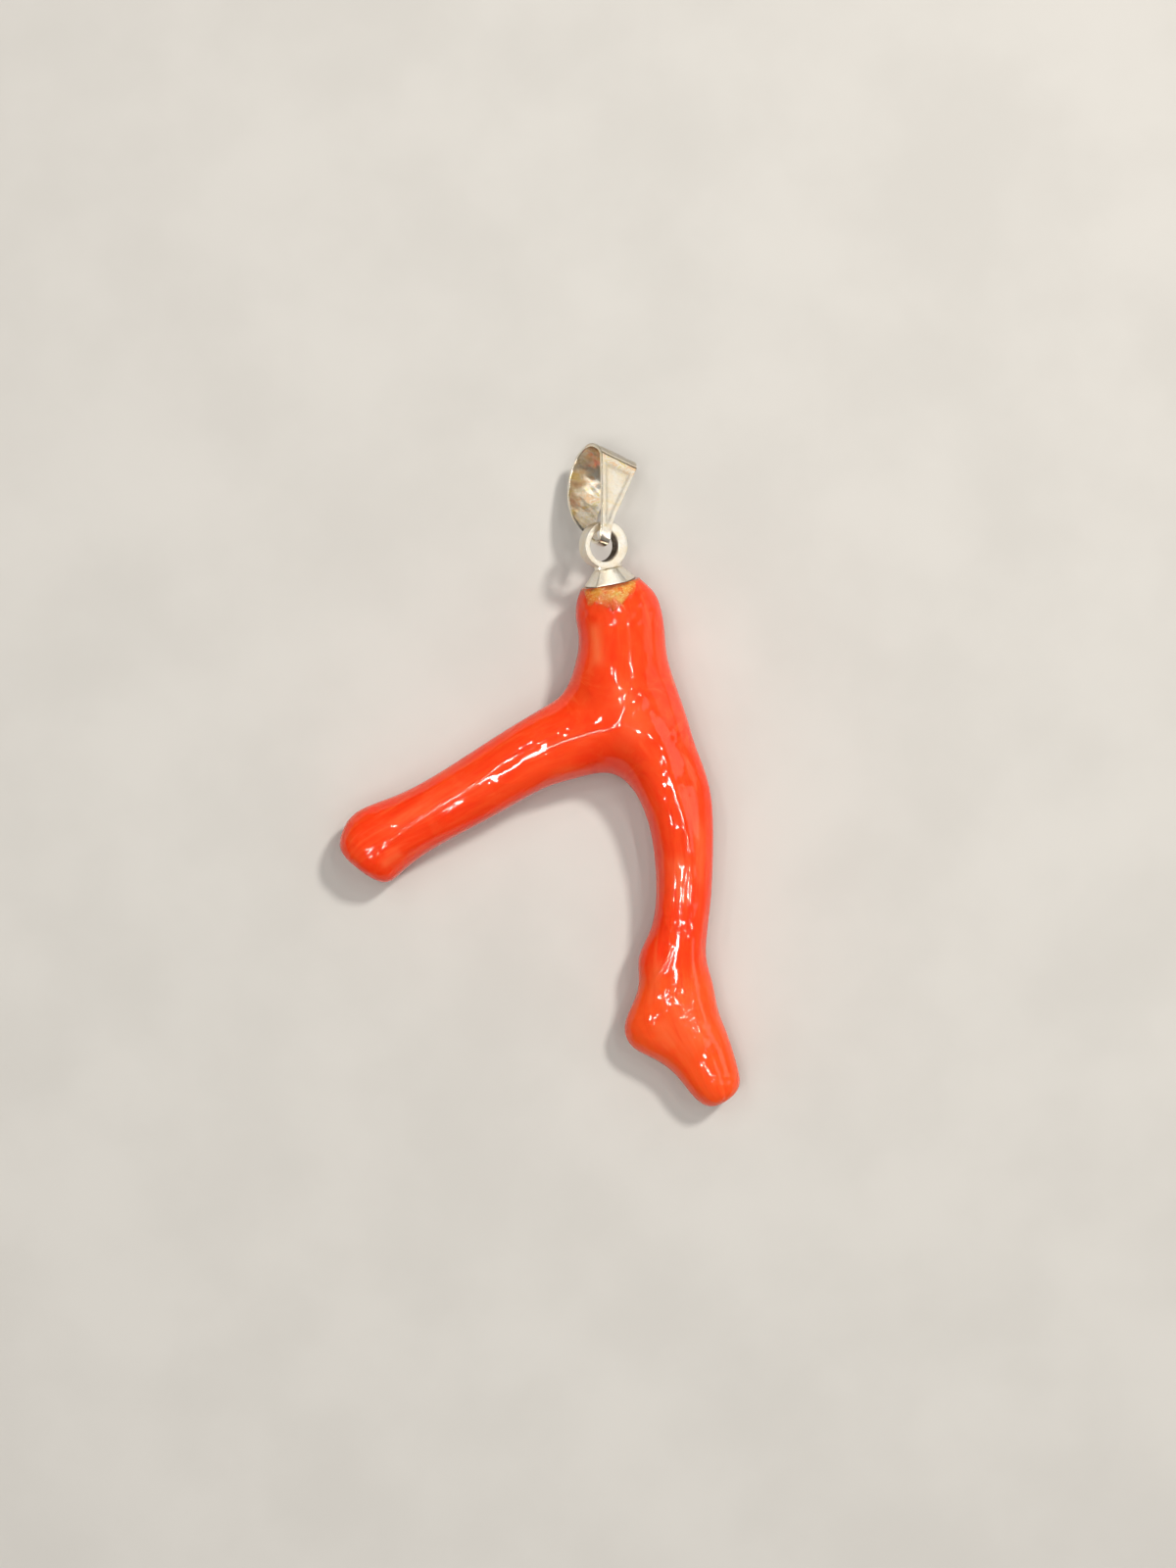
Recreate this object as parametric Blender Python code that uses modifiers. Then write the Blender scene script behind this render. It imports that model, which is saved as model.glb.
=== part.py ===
"""A red coral branch mounted as a pendant, lying on a table: a forked piece of polished coral, a
silver cap with an eye glued on its cut end, and a folded silver bail that swings in the eye.

Metres, +Z up. The branch lies along the table with the bail towards +Y. The origin is on the table,
under the middle of the pendant's outline. Run: blender --background --python part.py
"""

import math
from collections import namedtuple

import bmesh
import bpy
from mathutils import Matrix, Vector

MM = 0.001

# Coral sections, in millimetres: the place of the section's middle on the table, how far the coral
# reaches to either side of it, how thick it is from bottom to top, and how far it clears the table.
# A branch is headed away from the cap, and its left and right are those of someone facing back.
Section = namedtuple("Section", "x y left right thick rise")

STEM = (
    Section(6.5, 19.5, 2.3, 2.3, 4.6, 2.3),
    Section(6.75, 17.9, 3.5, 3.4, 6.0, 1.2),
    Section(7.2, 16.5, 4.15, 4.2, 6.6, 0.6),
    Section(7.75, 14.6, 4.2, 4.22, 6.9, 0.4),
    Section(7.85, 12.2, 4.25, 4.2, 7.5, 0.2),
    Section(7.8, 10.1, 4.75, 4.7, 8.1, 0.0),
)
LEFT_BRANCH = (
    Section(1.7, 2.9, 4.1, 3.5, 6.6, 0.7),
    Section(-1.1, 1.8, 3.55, 3.15, 6.1, 1.0),
    Section(-4.7, -0.3, 3.35, 3.2, 5.9, 1.0),
    Section(-8.4, -2.5, 3.18, 3.02, 5.7, 0.8),
    Section(-12.0, -4.5, 3.15, 2.9, 5.8, 0.4),
    Section(-14.8, -5.9, 3.6, 3.4, 5.85, 0.1),
    Section(-16.6, -6.9, 3.85, 3.95, 5.75, 0.0),
    Section(-17.95, -8.0, 2.75, 3.55, 4.9, 0.5),
    Section(-18.5, -8.7, 1.6, 1.85, 2.8, 1.5),
)
RIGHT_BRANCH = (
    Section(11.7, 0.9, 3.5, 3.85, 6.5, 0.6),
    Section(13.0, -1.8, 3.4, 3.62, 6.1, 0.9),
    Section(13.6, -4.8, 3.02, 3.13, 5.8, 1.1),
    Section(13.9, -8.6, 2.8, 2.78, 5.3, 1.2),
    Section(13.7, -12.4, 2.5, 2.78, 5.1, 1.0),
    Section(13.6, -15.4, 2.9, 2.45, 5.1, 0.8),
    Section(13.4, -17.9, 4.38, 2.53, 5.3, 0.6),
    Section(13.5, -20.3, 3.65, 3.18, 5.5, 0.4),
    Section(13.9, -22.4, 6.5, 3.15, 5.7, 0.1),
    Section(14.6, -24.2, 6.55, 2.87, 5.6, 0.0),
    Section(15.2, -25.7, 4.85, 2.9, 5.3, 0.0),
    Section(15.9, -27.5, 3.45, 2.88, 4.9, 0.1),
    Section(16.55, -29.4, 2.72, 2.75, 4.9, 0.2),
    Section(17.2, -31.05, 2.15, 2.55, 4.2, 0.6),
    Section(17.8, -31.95, 1.15, 1.45, 2.4, 1.5),
)

# The cage at the fork, in millimetres. The three branches share the saddle points, on top and below.
SADDLE = (8.0, 4.6, 9.2, -0.4)
ARMPIT = (1.2, 8.5)
FLANK = (15.35, 5.4)
CROTCH = (6.7, 0.3)
LEFT_SHOULDER = (4.2, 6.6, 6.9, 0.9)
RIGHT_SHOULDER = (12.3, 4.9, 7.9, 0.7)
CROTCH_LIP = (7.1, 1.8, 5.7, 0.9)
FORK_HEIGHT = 3.9

CORAL_COLOUR = (0.93, 0.09, 0.03)
CORAL_ROUGHNESS = 0.12
SILVER_COLOUR = (0.92, 0.89, 0.82)
SILVER_ROUGHNESS = 0.18

RING_POINTS = 8
SMOOTHNESS = 2  # subdivision levels
# A ring of cage points shrinks by this share when it is subdivided, so the cage is made larger.
SWELL = 3 / (2 + math.cos(2 * math.pi / RING_POINTS))

JOINT_GAP = 0.3  # between the coral's three parts, and between the cap and the coral
WEDGE_REACH = 60.0
SAWN_OFF = (20.0, 20.0, 6.0)

# The cap stands on the stem's cut end and leans to the left. Its eye is turned about its axis.
CAP_X, CAP_Y, CAP_Z = 6.68, 18.73, 4.67
CAP_LEAN = math.radians(11)
CAP_PITCH = math.radians(11)
CAP_RIM_RADIUS = 2.6
CAP_TOP_RADIUS = 1.35
CAP_HEIGHT = 1.42
CAP_WALL = 0.45
CAP_FACETS = 5
EYE_RADIUS = 2.3
EYE_HOLE_RADIUS = 1.53
EYE_DEPTH = 1.55
EYE_HEIGHT = 3.67
EYE_TURN = math.radians(24)
FOOT_WIDTH = 2.7
FOOT_DEPTH = 1.1
FOOT_HEIGHT = 0.5
METAL_EDGE = 0.08

# The bail is a closed band through the eye, seen here from the side, in millimetres from the hinge:
# how far out to the front, how far up, and how far it reaches to the left and to the right. The
# first is the fold over its front.
BAIL_PATH = (
    (1.40, 6.55, 2.28, 1.95),
    (1.40, 4.40, 1.68, 1.55),
    (1.40, 2.20, 1.10, 1.00),
    (1.40, 0.40, 0.68, 0.58),
    (1.42, -0.80, 0.45, 0.66),
    (1.20, -1.70, 0.15, 0.90),
    (0.20, -1.80, -0.15, 0.95),
    (-0.85, -1.30, -0.20, 1.05),
    (-1.70, -0.35, 0.45, 1.10),
    (-2.75, 0.85, 1.25, 1.25),
    (-3.50, 2.30, 1.75, 1.55),
    (-3.75, 4.10, 2.15, 1.95),
    (-3.35, 6.00, 2.50, 2.30),
    (-2.15, 7.40, 2.60, 2.40),
    (-0.60, 7.95, 2.60, 2.35),
    (0.75, 7.40, 2.50, 2.20),
)
BAIL_THICKNESS = 0.35
BAIL_SMOOTHNESS = 2
BAIL_FOLD = 0.9
# The hinge is the eye's wire, some way round from the cap's axis. The bail is turned to the right,
# sways round the eye and is pitched down to the table.
HINGE_ROUND = math.radians(-5)
BAIL_TURN = math.radians(31)
BAIL_SWAY = math.radians(18.6)
BAIL_PITCH = math.radians(8)


def clear_scene():
    for obj in list(bpy.data.objects):
        bpy.data.objects.remove(obj)


def make_collection(name):
    collection = bpy.data.collections.new(name)
    bpy.context.scene.collection.children.link(collection)
    return collection


def make_material(name, colour, roughness, metallic=0.0):
    material = bpy.data.materials.new(name)
    material.use_nodes = True
    shader = material.node_tree.nodes["Principled BSDF"]
    shader.inputs["Base Color"].default_value = (*colour, 1.0)
    shader.inputs["Roughness"].default_value = roughness
    shader.inputs["Metallic"].default_value = metallic
    material.diffuse_color = (*colour, 1.0)
    return material


def add_object(name, mesh, collection, material=None):
    obj = bpy.data.objects.new(name, mesh)
    collection.objects.link(obj)
    if material:
        mesh.materials.append(material)
    return obj


def mesh_from(bm, name):
    bmesh.ops.recalc_face_normals(bm, faces=bm.faces)
    mesh = bpy.data.meshes.new(name)
    bm.to_mesh(mesh)
    bm.free()
    mesh.shade_smooth()
    return mesh


def point(bm, x, y, z):
    return bm.verts.new((x * MM, y * MM, z * MM))


def section_ring(bm, section, heading):
    """The cage points round a section, which stands upright across the heading."""
    middle = Vector((section.x, section.y, section.rise + section.thick / 2))
    side = Vector((-heading.y, heading.x, 0))
    ring = []
    for step in range(RING_POINTS):
        angle = 2 * math.pi * step / RING_POINTS
        reach = section.right if math.cos(angle) > 0 else section.left
        across = side * reach * math.cos(angle)
        up = Vector((0, 0, section.thick / 2 * math.sin(angle)))
        ring.append(point(bm, *(middle + (across + up) * SWELL)))
    return ring


def headings(sections, start, end):
    """The way each section faces: along the line between its neighbours."""
    places = [Vector((s[0], s[1], 0)) for s in (start, *sections, end)]
    return [(after - before).normalized() for before, after in zip(places, places[2:])]


def bridge(bm, first, second):
    for a, b, c, d in zip(first, first[1:] + first[:1], second[1:] + second[:1], second):
        bm.faces.new((a, b, c, d))


def grow_branch(bm, ring, sections):
    """Bridges the sections on from a ring at the fork, and closes the branch's end."""
    for section, heading in zip(sections, headings(sections, SADDLE, sections[-1])):
        following = section_ring(bm, section, heading)
        bridge(bm, ring, following)
        ring = following
    bm.faces.new(ring)


def coral_cage():
    """The whole coral as one coarse cage: stem, fork and the two branches."""
    bm = bmesh.new()
    cap_heading = Vector((math.sin(CAP_LEAN), -math.cos(CAP_LEAN), 0))
    start = Vector((STEM[0].x, STEM[0].y, 0)) - cap_heading
    rings = [
        section_ring(bm, section, heading)
        for section, heading in zip(STEM, headings(STEM, start, SADDLE))
    ]
    bm.faces.new(rings[0][::-1])
    for first, second in zip(rings, rings[1:]):
        bridge(bm, first, second)

    flank = point(bm, *FLANK, FORK_HEIGHT)
    armpit = point(bm, *ARMPIT, FORK_HEIGHT)
    crotch = point(bm, *CROTCH, FORK_HEIGHT)
    (saddle_top, saddle_below), (left_top, left_below), (right_top, right_below), (lip_top, lip_below) = (
        (point(bm, x, y, top), point(bm, x, y, below))
        for x, y, top, below in (SADDLE, LEFT_SHOULDER, RIGHT_SHOULDER, CROTCH_LIP)
    )
    fork = [flank, right_top, saddle_top, left_top, armpit, left_below, saddle_below, right_below]
    bridge(bm, rings[-1], fork)
    left = [crotch, lip_top, saddle_top, left_top, armpit, left_below, saddle_below, lip_below]
    grow_branch(bm, left, LEFT_BRANCH)
    right = [flank, right_top, saddle_top, lip_top, crotch, lip_below, saddle_below, right_below]
    grow_branch(bm, right, RIGHT_BRANCH)
    return mesh_from(bm, "coral_cage")


def wedge(name, first, second, collection):
    """An upright prism between two lines from the saddle, drawn in by half the gap on both sides."""
    saddle = Vector((SADDLE[0], SADDLE[1], 0))
    along = [(Vector((*place, 0)) - saddle).normalized() for place in (first, second)]
    opening = along[0].angle(along[1])
    middle = (along[0] + along[1]).normalized()
    tip = saddle + middle * JOINT_GAP / 2 / math.sin(opening / 2)
    corners = [tip, tip + along[0] * WEDGE_REACH, tip + middle * WEDGE_REACH, tip + along[1] * WEDGE_REACH]
    bm = bmesh.new()
    base = bm.faces.new([point(bm, c.x, c.y, -WEDGE_REACH / 2) for c in corners])
    top = bmesh.ops.extrude_face_region(bm, geom=[base])["geom"]
    risen = [v for v in top if isinstance(v, bmesh.types.BMVert)]
    bmesh.ops.translate(bm, verts=risen, vec=(0, 0, WEDGE_REACH * MM))
    cutter = add_object(name, mesh_from(bm, name), collection)
    hide_cutter(cutter)
    return cutter


def hide_cutter(obj):
    obj.hide_render = True
    obj.display_type = "WIRE"


def subdivide(obj):
    modifier = obj.modifiers.new("smooth", "SUBSURF")
    modifier.levels = modifier.render_levels = SMOOTHNESS


def boolean(obj, operation, other):
    modifier = obj.modifiers.new(operation.lower(), "BOOLEAN")
    modifier.operation = operation
    modifier.object = other


def add_coral(collection, cutters):
    """The coral, parted at its fork into the stem and the two branches. The stem's end is sawn flat."""
    cage = coral_cage()
    sides = {
        "coral_stem": (FLANK, ARMPIT),
        "coral_left_branch": (ARMPIT, CROTCH),
        "coral_right_branch": (CROTCH, FLANK),
    }
    for name, (first, second) in sides.items():
        polished_coral = make_material(name, CORAL_COLOUR, CORAL_ROUGHNESS)
        part = add_object(name, cage.copy(), collection, polished_coral)
        subdivide(part)
        boolean(part, "INTERSECT", wedge(name + "_wedge", first, second, cutters))
        if name == "coral_stem":
            waste = box("coral_sawn_off", SAWN_OFF, cutters)
            waste.matrix_world = cap_frame() @ Matrix.Translation((0, 0, (SAWN_OFF[2] / 2 - JOINT_GAP) * MM))
            boolean(part, "DIFFERENCE", waste)


def box(name, size, collection):
    """A box cutter about its own middle."""
    bm = bmesh.new()
    bmesh.ops.create_cube(bm, size=1, matrix=Matrix.Diagonal((*(side * MM for side in size), 1)))
    cutter = add_object(name, mesh_from(bm, name), collection)
    hide_cutter(cutter)
    return cutter


def axes_at(place, x, y):
    """A frame at a place, from the directions of its X and Y."""
    return Matrix.Translation(place) @ Matrix((x, y, x.cross(y))).transposed().to_4x4()


def cap_frame():
    """The cap's own frame: X off the table, Y to the right, Z along the cap away from the coral."""
    right = Vector((math.cos(CAP_LEAN), math.sin(CAP_LEAN), 0))
    along = Vector((-math.sin(CAP_LEAN), math.cos(CAP_LEAN), 0)) * math.cos(CAP_PITCH)
    along.z = math.sin(CAP_PITCH)
    return axes_at(Vector((CAP_X, CAP_Y, CAP_Z)) * MM, right.cross(along), right)


def eye_frame():
    """The eye's frame, at its middle: X to the right, Y along the cap, Z through the hole."""
    upright = Matrix(((0, 0, 1, 0), (1, 0, 0, 0), (0, 1, 0, 0), (0, 0, 0, 1)))
    raised = Matrix.Translation((0, 0, EYE_HEIGHT * MM))
    return cap_frame() @ raised @ upright @ Matrix.Rotation(EYE_TURN, 4, "Y")


def turned(name, profile, segments, collection, material=None):
    """A body turned about its own Z from a closed outline of (radius, height), run down the outside."""
    bm = bmesh.new()
    points = [point(bm, radius, 0, height) for radius, height in profile]
    for a, b in zip(points, points[1:]):
        bm.edges.new((a, b))
    if profile[0][0] > 0:
        bm.edges.new((points[-1], points[0]))
    mesh = bpy.data.meshes.new(name)
    bm.to_mesh(mesh)
    bm.free()
    obj = add_object(name, mesh, collection, material)
    screw = obj.modifiers.new("turn", "SCREW")
    screw.steps = screw.render_steps = segments
    screw.use_merge_vertices = True
    screw.merge_threshold = 0.00001
    screw.use_smooth_shade = False
    return obj


def add_cap(collection, cutters):
    """The cap: a hollow cone with flat facets, one of them in front, the eye on top of it, and the
    foot that the eye stands on."""
    silver = make_material("cap", SILVER_COLOUR, SILVER_ROUGHNESS, metallic=1.0)
    inner_top = CAP_HEIGHT - CAP_WALL
    cone = turned(
        "cap",
        (
            (0, CAP_HEIGHT),
            (CAP_TOP_RADIUS, CAP_HEIGHT),
            (CAP_RIM_RADIUS, METAL_EDGE),
            (CAP_RIM_RADIUS - METAL_EDGE, 0),
            (CAP_RIM_RADIUS - CAP_WALL, 0),
            (CAP_TOP_RADIUS - CAP_WALL, inner_top),
            (0, inner_top),
        ),
        CAP_FACETS,
        collection,
        silver,
    )
    cone.matrix_world = cap_frame() @ Matrix.Rotation(math.pi / CAP_FACETS, 4, "Z")

    half = EYE_DEPTH / 2
    edge = METAL_EDGE
    eye = turned(
        "eye",
        (
            (EYE_RADIUS - edge, half),
            (EYE_RADIUS, half - edge),
            (EYE_RADIUS, edge - half),
            (EYE_RADIUS - edge, -half),
            (EYE_HOLE_RADIUS + edge, -half),
            (EYE_HOLE_RADIUS, edge - half),
            (EYE_HOLE_RADIUS, half - edge),
            (EYE_HOLE_RADIUS + edge, half),
        ),
        56,
        cutters,
    )
    eye.matrix_world = eye_frame()
    hide_cutter(eye)

    foot = box("foot", (FOOT_WIDTH, FOOT_HEIGHT, FOOT_DEPTH), cutters)
    drop = CAP_HEIGHT + FOOT_HEIGHT / 2 - 0.05 - EYE_HEIGHT
    forward = half - FOOT_DEPTH / 2 - 0.05
    foot.matrix_world = eye_frame() @ Matrix.Translation((0, drop * MM, forward * MM))

    boolean(cone, "UNION", foot)
    boolean(cone, "UNION", eye)


def hinge_place():
    """The middle of the eye's wire, where the bail hangs on it."""
    radius = (EYE_RADIUS + EYE_HOLE_RADIUS) / 2 * MM
    return eye_frame() @ Vector((radius * math.sin(HINGE_ROUND), radius * math.cos(HINGE_ROUND), 0))


def bail_frame():
    """The bail's frame, on the hinge: X out of its front face, Y up from its neck."""
    front = Vector((math.sin(BAIL_TURN), 0, math.cos(BAIL_TURN)))
    frame = axes_at(hinge_place(), front, Vector((0, 1, 0)))
    return frame @ Matrix.Rotation(-BAIL_SWAY, 4, "X") @ Matrix.Rotation(BAIL_PITCH, 4, "Z")


def add_bail(collection):
    """The band: a strip with one row across it for each point of the path, smoothed and given its
    thickness. Its origin is on the eye's wire, and it swings round that wire."""
    silver = make_material("bail", SILVER_COLOUR, SILVER_ROUGHNESS, metallic=1.0)
    bm = bmesh.new()
    rows = [(point(bm, out, up, left), point(bm, out, up, -right)) for out, up, left, right in BAIL_PATH]
    for (a, b), (c, d) in zip(rows, rows[1:] + rows[:1]):
        bm.faces.new((a, c, d, b))
    creases = bm.edges.layers.float.new("crease_edge")
    bm.edges.get(rows[0])[creases] = BAIL_FOLD
    for (a, b), (c, d) in zip(rows, rows[1:] + rows[:1]):
        bm.edges.get((a, c))[creases] = bm.edges.get((b, d))[creases] = 1.0
    bail = add_object("bail", mesh_from(bm, "bail"), collection, silver)
    bail.matrix_world = bail_frame()
    smooth = bail.modifiers.new("smooth", "SUBSURF")
    smooth.levels = smooth.render_levels = BAIL_SMOOTHNESS
    sheet = bail.modifiers.new("sheet", "SOLIDIFY")
    sheet.thickness = BAIL_THICKNESS * MM
    sheet.offset = 0
    sheet.use_even_offset = True


def main():
    clear_scene()
    pendant = make_collection("red_coral_pendant")
    cutters = make_collection("cutters")
    add_coral(pendant, cutters)
    add_cap(pendant, cutters)
    add_bail(pendant)


main()
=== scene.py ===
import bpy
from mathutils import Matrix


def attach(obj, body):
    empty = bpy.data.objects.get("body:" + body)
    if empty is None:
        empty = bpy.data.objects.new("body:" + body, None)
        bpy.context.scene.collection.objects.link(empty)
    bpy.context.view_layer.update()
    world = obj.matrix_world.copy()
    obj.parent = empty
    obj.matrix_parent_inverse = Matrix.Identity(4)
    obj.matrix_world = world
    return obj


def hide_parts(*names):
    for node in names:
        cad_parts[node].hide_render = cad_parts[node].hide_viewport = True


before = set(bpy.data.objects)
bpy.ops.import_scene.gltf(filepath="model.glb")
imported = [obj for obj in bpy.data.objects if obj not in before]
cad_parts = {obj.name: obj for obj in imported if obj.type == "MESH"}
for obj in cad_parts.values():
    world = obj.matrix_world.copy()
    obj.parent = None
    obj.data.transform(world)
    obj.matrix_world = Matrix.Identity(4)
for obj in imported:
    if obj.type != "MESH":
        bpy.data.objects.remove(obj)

"""A red coral branch pendant: polished coral with a silver cap glued on its cut end, and a folded
silver bail in the cap's eye. It lies on a pale table and is seen from straight above.

Lengths are in millimetres up to the moment a mesh is made. The places are the pendant's own: X to the
right, Y towards the bail, Z up off the table.
"""

import math

import bpy
import numpy as np
from mathutils import Matrix

MM = 0.001
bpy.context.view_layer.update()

# Shared tools: numbers and meshes.

def unit(vectors):
    """Vectors divided by their own lengths."""
    return vectors / np.maximum(np.linalg.norm(vectors, axis=-1, keepdims=True), 1e-12)


def smoothstep(low, high, values):
    """0 below low, 1 above high, and a smooth S between them."""
    share = np.clip((values - low) / (high - low), 0, 1)
    return share * share * (3 - 2 * share)


def turn(axis, angle):
    """A turn by an angle about X (0), Y (1) or Z (2), as a 4 x 4 matrix."""
    matrix = np.eye(4)
    first, second = [(1, 2), (2, 0), (0, 1)][axis]
    matrix[first, first] = matrix[second, second] = math.cos(angle)
    matrix[second, first] = math.sin(angle)
    matrix[first, second] = -math.sin(angle)
    return matrix


def shift(x, y, z):
    """A move by x, y and z, as a 4 x 4 matrix."""
    matrix = np.eye(4)
    matrix[:3, 3] = x, y, z
    return matrix


def axes_at(place, x, y):
    """A frame at a place, from the directions of its X and Y; its Z is X cross Y."""
    matrix = np.eye(4)
    matrix[:3, 0], matrix[:3, 1], matrix[:3, 2], matrix[:3, 3] = x, y, np.cross(x, y), place
    return matrix


def placed(matrix, points):
    """Points of a frame, in the pendant's places."""
    return points @ matrix[:3, :3].T + matrix[:3, 3]


def b_spline(rows, per_span, closed):
    """A uniform cubic B-spline through rows of values: each point is the weighted mean of four rows,
    with the weights (1-t)^3, 3t^3-6t^2+4, -3t^3+3t^2+3t+1 and t^3, all over 6."""
    rows = np.asarray(rows, float)
    if not closed:
        rows = np.vstack([2 * rows[0] - rows[1], rows, 2 * rows[-1] - rows[-2]])
    spans = len(rows) if closed else len(rows) - 3
    t = np.arange(per_span) / per_span
    weights = np.stack([(1 - t) ** 3, 3 * t**3 - 6 * t**2 + 4, -3 * t**3 + 3 * t**2 + 3 * t + 1, t**3]) / 6
    index = np.arange(spans)[:, None] + np.arange(4)[None, :]
    curve = np.einsum("kt,skc->stc", weights, rows[index % len(rows)]).reshape(-1, rows.shape[1])
    return curve if closed else np.vstack([curve, (rows[-3] + 4 * rows[-2] + rows[-1]) / 6])


def grid_faces(along, around):
    """Quads of a grid that is closed around and open along: rows i and i+1, columns j and j+1."""
    i, j = np.meshgrid(np.arange(along - 1), np.arange(around), indexing="ij")
    m, k = i + 1, (j + 1) % around
    return np.stack([i * around + j, i * around + k, m * around + k, m * around + j], -1).reshape(-1, 4)


def loop_faces(along, around):
    """Quads of a grid that is closed both ways, like a ring."""
    i, j = np.meshgrid(np.arange(along), np.arange(around), indexing="ij")
    m, k = (i + 1) % along, (j + 1) % around
    return np.stack([i * around + j, i * around + k, m * around + k, m * around + j], -1).reshape(-1, 4)


def capped(points, faces, around):
    """Closes both ends of a grid with a fan of triangles about the middle of each end row."""
    flat = points.reshape(-1, 3)
    ends = np.stack([points[0].mean(0), points[-1].mean(0)])
    j = np.arange(around)
    k = (j + 1) % around
    last = (len(points) - 1) * around
    first_fan = np.stack([np.full(around, len(flat)), k, j], -1)
    last_fan = np.stack([np.full(around, len(flat) + 1), last + j, last + k], -1)
    return np.vstack([flat, ends]), faces.tolist() + first_fan.tolist() + last_fan.tolist()


def outward(points, faces):
    """Turns every face over if the mesh's volume comes out below nothing."""
    fans = [(face[0], face[n], face[n + 1]) for face in faces for n in range(1, len(face) - 1)]
    a, b, c = (points[np.array(fans)[:, n]] for n in range(3))
    volume = np.einsum("ij,ij->i", a, np.cross(b, c)).sum()
    return faces if volume > 0 else [list(face)[::-1] for face in faces]


def add_piece(name, points, faces, body, material):
    """A piece of the pendant from its points in millimetres, smooth, riding on a body."""
    mesh = bpy.data.meshes.new(name)
    mesh.from_pydata((np.asarray(points) * MM).tolist(), [], [list(map(int, f)) for f in faces])
    mesh.validate()
    mesh.shade_smooth()
    mesh.materials.append(material)
    piece = bpy.data.objects.new(name, mesh)
    bpy.context.scene.collection.objects.link(piece)
    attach(piece, body)
    return piece


def add_attribute(mesh, name, values):
    """A value, or a vector, for every vertex."""
    kind = "FLOAT" if values.ndim == 1 else "FLOAT_VECTOR"
    layer = mesh.attributes.new(name, kind, "POINT")
    layer.data.foreach_set("value" if values.ndim == 1 else "vector", values.astype(np.float32).ravel())


def ripples(rng, waves, *axes):
    """A sum of sines. Each wave gives its size and how often it repeats along each axis; its phase is
    drawn at random."""
    total = 0
    for size, *rates in waves:
        total = total + size * np.sin(sum(r * a for r, a in zip(rates, axes)) + rng.uniform(0, 2 * math.pi))
    return total


def off_line(points, line):
    """How far points are from a line of straight stretches, and how far along it (0 to 1) they are."""
    line = np.asarray(line, float)
    start, step = line[:-1], np.diff(line, axis=0)
    length = np.linalg.norm(step, axis=1)
    t = np.clip(np.einsum("psc,sc->ps", points[:, None] - start, step) / length**2, 0, 1)
    gap = np.linalg.norm(points[:, None] - (start + t[..., None] * step), axis=2)
    best = gap.argmin(1)
    pick = np.arange(len(points))
    before = np.concatenate([[0], np.cumsum(length)[:-1]])
    return gap[pick, best], (before[best] + t[pick, best] * length[best]) / length.sum()


def drawn(points, line, width):
    """A soft stroke along a line: exp(-(gap / width)^2), faded at both of the line's ends."""
    gap, along = off_line(points, line)
    faded = smoothstep(-0.02, 0.25, along) * (1 - smoothstep(0.75, 1.02, along))
    return np.exp(-((gap / width) ** 2)) * faded


# Material tools.

def new_node(tree, kind, values=None, **settings):
    """A shader node with its settings; a value that is a socket is linked, any other is set."""
    node = tree.nodes.new(kind)
    for key, value in settings.items():
        setattr(node, key, value)
    for key, value in (values or {}).items():
        if isinstance(value, bpy.types.NodeSocket):
            tree.links.new(value, node.inputs[key])
        else:
            node.inputs[key].default_value = value
    return node


def maths(tree, operation, first, second):
    """A Math node's value; each side is a socket or a number."""
    return new_node(tree, "ShaderNodeMath", {0: first, 1: second}, operation=operation).outputs[0]


def times(tree, first, second):
    return maths(tree, "MULTIPLY", first, second)


def added(tree, first, second):
    return maths(tree, "ADD", first, second)


def mixed(tree, share, first, second):
    """The first colour where the share is 0 and the second where it is 1."""
    return new_node(tree, "ShaderNodeMix", {0: share, 6: first, 7: second}, data_type="RGBA").outputs[2]


def between(tree, value, low, high, to_low=0.0, to_high=1.0):
    """A value's place between low and high, smoothly, as a share from to_low to to_high."""
    values = {"Value": value, "From Min": low, "From Max": high, "To Min": to_low, "To Max": to_high}
    return new_node(tree, "ShaderNodeMapRange", values, interpolation_type="SMOOTHSTEP").outputs[0]


def noise(tree, vector, scale, detail=2.0, rough=0.5, bend=0.0):
    """A Noise Texture's value, around a half."""
    values = {"Vector": vector, "Scale": scale, "Detail": detail, "Roughness": rough, "Distortion": bend}
    return new_node(tree, "ShaderNodeTexNoise", values).outputs["Fac"]


def scaled(tree, vector, x, y, z):
    """The vector stretched by x, y and z."""
    return new_node(tree, "ShaderNodeMapping", {"Vector": vector, "Scale": (x, y, z)}).outputs[0]


def group_of(name, inputs, outputs):
    """An empty node group: an input is a vector where its value is None and else a number, and the
    outputs are numbers."""
    tree = bpy.data.node_groups.new(name, "ShaderNodeTree")
    for socket, value in inputs.items():
        kind = "NodeSocketVector" if value is None else "NodeSocketFloat"
        made = tree.interface.new_socket(socket, in_out="INPUT", socket_type=kind)
        if value is not None:
            made.default_value = value
    for socket in outputs:
        tree.interface.new_socket(socket, in_out="OUTPUT", socket_type="NodeSocketFloat")
    return tree, tree.nodes.new("NodeGroupInput"), tree.nodes.new("NodeGroupOutput")


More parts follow.
